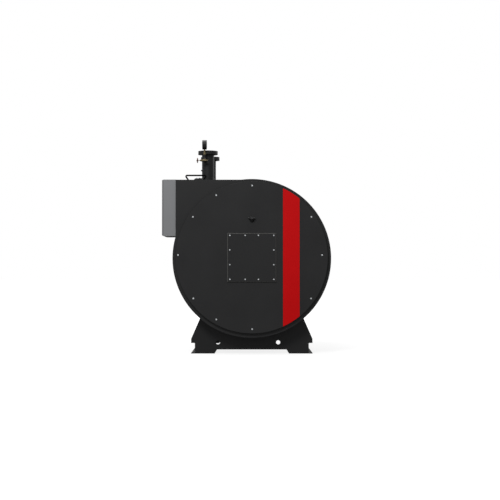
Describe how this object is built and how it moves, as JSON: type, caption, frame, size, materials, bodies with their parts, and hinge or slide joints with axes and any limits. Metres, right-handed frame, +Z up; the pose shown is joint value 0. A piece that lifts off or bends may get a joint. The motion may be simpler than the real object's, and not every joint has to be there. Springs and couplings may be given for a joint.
{
  "type": "industrial boiler",
  "caption": "Horizontal lagged drum boiler on saddles and channel rails, with round bolted cover, red stripe, flanged top nozzles, pressure gauge, flue outlet and side control cabinet.",
  "frame": {"origin": "on the floor, below the middle of the whole plant's box", "axes": "+Z up; -Y out of the round front cover; the control cabinet is on -X; the flue leaves along +Y"},
  "size_m": [2.993, 3.8912, 3.827],
  "materials": {
    "bare_steel": "mill scale, hidden",
    "black_steel": "black heat resistant paint on steel",
    "brass": "cast brass, dull",
    "cabinet_paint": "light grey textured powder coat",
    "cladding_paint": "satin dark grey powder coat on sheet",
    "clear_glass": "clear glass",
    "cover_paint": "satin dark grey powder coat",
    "dial_face": "matt white dial",
    "gauge_black": "black enamelled case with a pale dial",
    "gland_plastic": "dark grey plastic and steel plate",
    "handwheel_paint": "dull red-brown enamel",
    "red_panel": "satin red paint",
    "rubber_seal": "black rubber and graphite seals",
    "zinc_steel": "zinc plated bolts, screws and washers"
  },
  "bodies": {
    "root": {"burner_plate": "cover_paint", "cabinet_body": "cabinet_paint", "cabinet_door": "cabinet_paint", "cabinet_gland_plate": "gland_plastic", "cladding_front": "cladding_paint", "cladding_manhole_panel": "cladding_paint", "cladding_middle": "cladding_paint", "cladding_rear": "cladding_paint", "corner_housing": "cladding_paint", "drain_flange": "black_steel", "drain_pipe": "black_steel", "flue_collar": "black_steel", "flue_flange": "black_steel", "front_cover": "cover_paint", "front_end_plate": "cladding_paint", "front_saddle": "black_steel", "front_saddle_ribs": "black_steel", "gauge_cock": "brass", "instrument_pipe": "black_steel", "left_cleanout_cover": "black_steel", "left_rail": "black_steel", "manhole_cover": "black_steel", "manhole_flange": "black_steel", "manhole_neck": "black_steel", "pressure_gauge": "gauge_black", "pressure_shell_front": "bare_steel", "pressure_shell_manhole_plate": "bare_steel", "pressure_shell_middle": "bare_steel", "pressure_shell_rear": "bare_steel", "rear_cover": "cover_paint", "rear_end_plate": "cladding_paint", "rear_saddle": "black_steel", "rear_saddle_ribs": "black_steel", "return_collar": "black_steel", "return_flange": "black_steel", "return_nozzle": "black_steel", "right_cleanout_cover": "black_steel", "right_rail": "black_steel", "seam_band_front": "cladding_paint", "seam_band_rear": "cladding_paint", "sensor_boss": "black_steel", "sight_port_cap": "black_steel", "sight_port_neck": "black_steel", "stripe_panel": "red_panel", "supply_collar": "black_steel", "supply_flange": "black_steel", "supply_nozzle": "black_steel", "top_handle": "black_steel", "vent_handwheel": "handwheel_paint", "vent_valve": "brass"}
  },
  "joints": []
}
